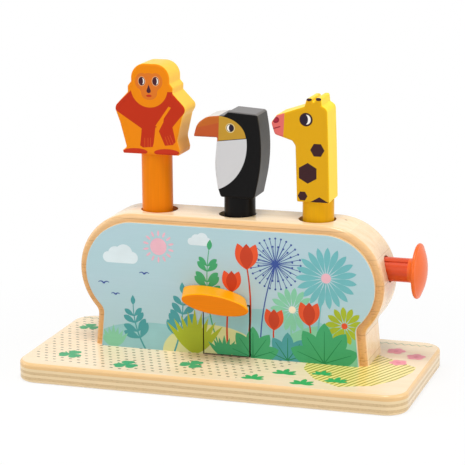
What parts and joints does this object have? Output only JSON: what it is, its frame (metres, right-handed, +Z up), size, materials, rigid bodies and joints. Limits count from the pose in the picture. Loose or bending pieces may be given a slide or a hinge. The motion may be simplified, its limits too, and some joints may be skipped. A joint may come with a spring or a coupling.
{
  "type": "pop up animal toy",
  "caption": "Wooden pop-up toy: animal figures on sprung plungers in a round-cheeked case on a plywood base, let go by a push button, a press lever and a turning knob.",
  "frame": {"origin": "middle of the base board's underside", "axes": "+X along the base towards the push button's end, +Y from the printed front panel to the back, +Z up along the plungers"},
  "size_m": [0.254, 0.117, 0.198],
  "materials": {
    "base_plywood": "clear lacquered plywood, printed top",
    "body_wood": "clear lacquered solid wood",
    "front_print": "printed thin plywood, satin",
    "back_print": "printed thin plywood, satin",
    "flap_print": "printed thin plywood, satin",
    "monkey_paint": "painted wood, satin",
    "toucan_paint": "painted wood, satin",
    "giraffe_paint": "painted wood, satin",
    "orange_rod": "painted wood, satin",
    "black_rod": "painted wood, satin",
    "yellow_rod": "painted wood, satin",
    "button_paint": "painted wood, gloss",
    "paddle_paint": "painted wood, satin",
    "knob_paint": "painted wood, satin",
    "bare_wood": "bare wood",
    "board_wood": "bare plywood",
    "spring_steel": "bright spring wire",
    "screw_steel": "zinc plated steel"
  },
  "bodies": {
    "case": {"base_board": "base_plywood", "body_frame": "body_wood", "front_panel": "front_print", "back_panel": "back_print", "latch_board": "board_wood", "base_screws": "screw_steel", "spring_pegs": "bare_wood", "monkey_spring": "spring_steel", "toucan_spring": "spring_steel", "giraffe_spring": "spring_steel", "button_spring": "spring_steel", "lever_spring": "spring_steel", "lever_spring_post": "bare_wood", "lever_bracket_left": "bare_wood", "lever_bracket_right": "bare_wood", "lever_pivot_pin": "screw_steel", "knob_bearing": "bare_wood"},
    "monkey": {"monkey_figure": "monkey_paint", "monkey_plunger": "orange_rod", "monkey_dowel": "bare_wood", "monkey_stop_pin": "bare_wood"},
    "toucan": {"toucan_figure": "toucan_paint", "toucan_plunger": "black_rod", "toucan_dowel": "bare_wood", "toucan_stop_pin": "bare_wood"},
    "giraffe": {"giraffe_figure": "giraffe_paint", "giraffe_plunger": "yellow_rod", "giraffe_dowel": "bare_wood", "giraffe_stop_pin": "bare_wood"},
    "button": {"button_cap": "button_paint", "button_rod": "button_paint", "button_tip": "bare_wood"},
    "lever": {"lever_flap": "flap_print", "lever_hinge_block": "bare_wood", "lever_kicker": "bare_wood", "lever_paddle": "paddle_paint", "paddle_dowel": "bare_wood"},
    "knob": {"back_knob": "knob_paint", "knob_shaft": "bare_wood", "knob_cam": "bare_wood", "cam_pin": "screw_steel"}
  },
  "joints": [
    {"name": "monkey_pop", "type": "slide", "parent": "case", "child": "monkey", "axis": [0, 0, 1], "range_m": [-0.025, 0], "stiffness_N_per_m": 150, "springref_m": 0.015, "deforming": ["monkey_spring"]},
    {"name": "toucan_pop", "type": "slide", "parent": "case", "child": "toucan", "axis": [0, 0, 1], "range_m": [0, 0.025], "deforming": ["toucan_spring"]},
    {"name": "giraffe_pop", "type": "slide", "parent": "case", "child": "giraffe", "axis": [0, 0, 1], "range_m": [0, 0.025], "deforming": ["giraffe_spring"]},
    {"name": "button_push", "type": "slide", "parent": "case", "child": "button", "axis": [-1, 0, 0], "range_m": [0, 0.009], "stiffness_N_per_m": 150, "springref_m": -0.01, "deforming": ["button_spring"]},
    {"name": "lever_press", "type": "hinge", "parent": "case", "child": "lever", "pos_m": [-0.0035, -0.0025, 0.051], "axis": [1, 0, 0], "range_deg": [0, 8], "stiffness_Nm_per_rad": 0.05, "springref_deg": -17.19, "deforming": ["lever_spring"]},
    {"name": "knob_turn", "type": "hinge", "parent": "case", "child": "knob", "pos_m": [-0.0315, 0.032, 0.0725], "axis": [0, -1, 0], "range_deg": [0, 90]}
  ]
}
